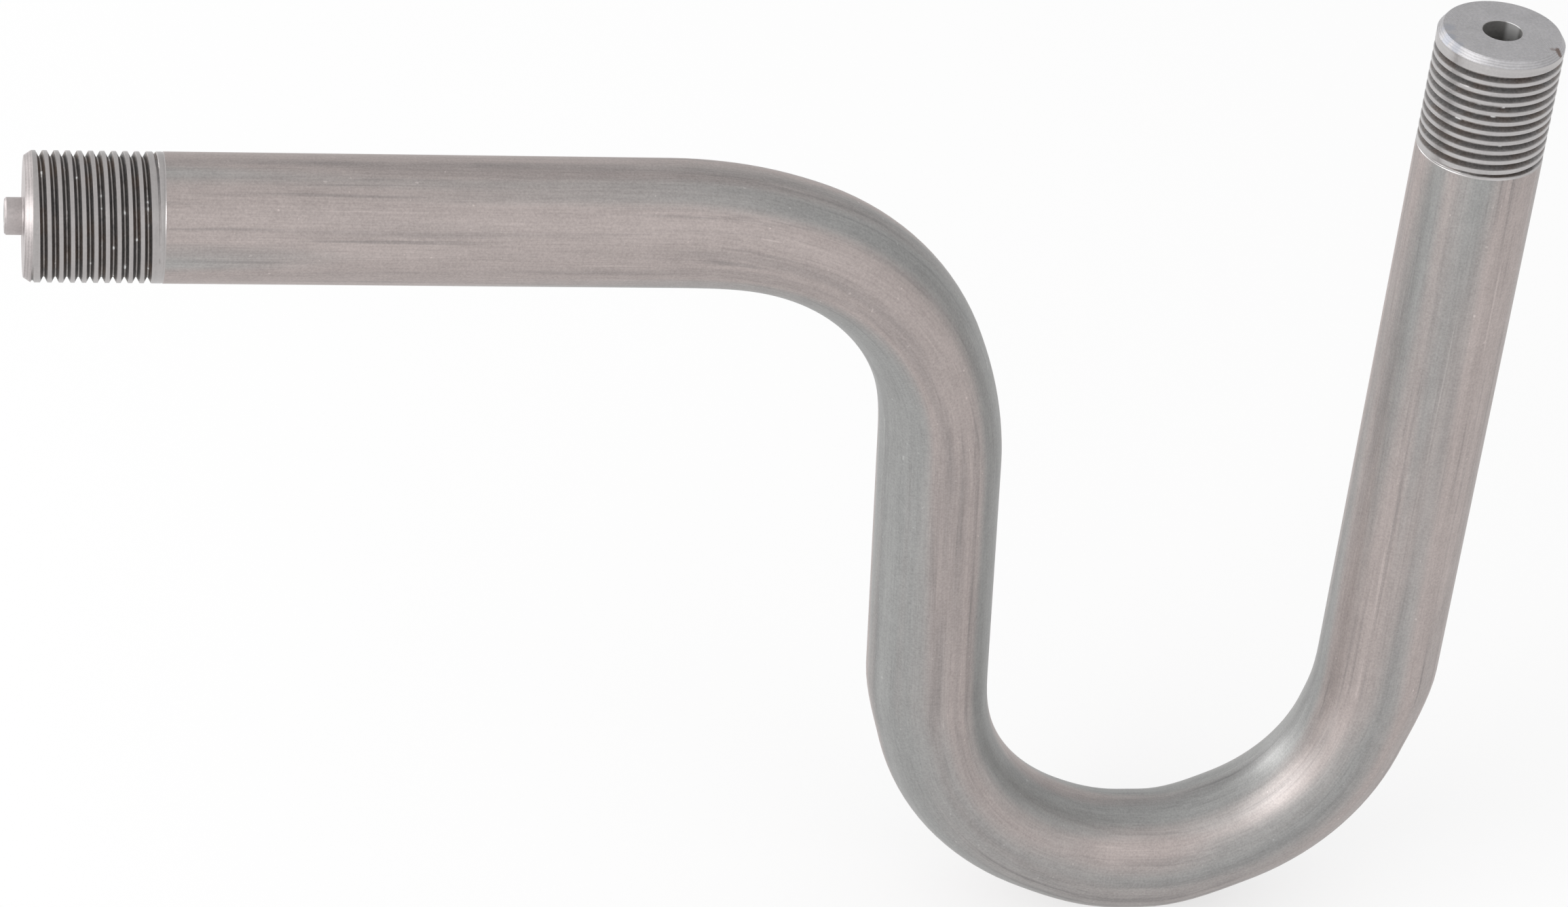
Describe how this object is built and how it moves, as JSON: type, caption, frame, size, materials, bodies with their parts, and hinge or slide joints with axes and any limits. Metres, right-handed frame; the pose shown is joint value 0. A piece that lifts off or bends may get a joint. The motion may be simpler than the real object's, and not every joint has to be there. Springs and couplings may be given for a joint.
{
  "type": "pressure gauge siphon",
  "caption": "Bent pipe that keeps a plug of water between hot steam and a pressure gauge, with a threaded male end towards the process and another towards the gauge.",
  "frame": {"origin": "centre of the sealing shoulder at the process end, where the spigot starts", "axes": "+X runs along the straight arm away from the process connection, +Z rises along the gauge leg, and the whole centreline lies in the XZ plane"},
  "size_m": [0.2498, 0.022, 0.1785],
  "materials": {
    "stainless_steel": "satin, brushed along the pipe, turned at both ends"
  },
  "bodies": {
    "root": {"siphon_pipe": "stainless_steel"}
  },
  "joints": []
}
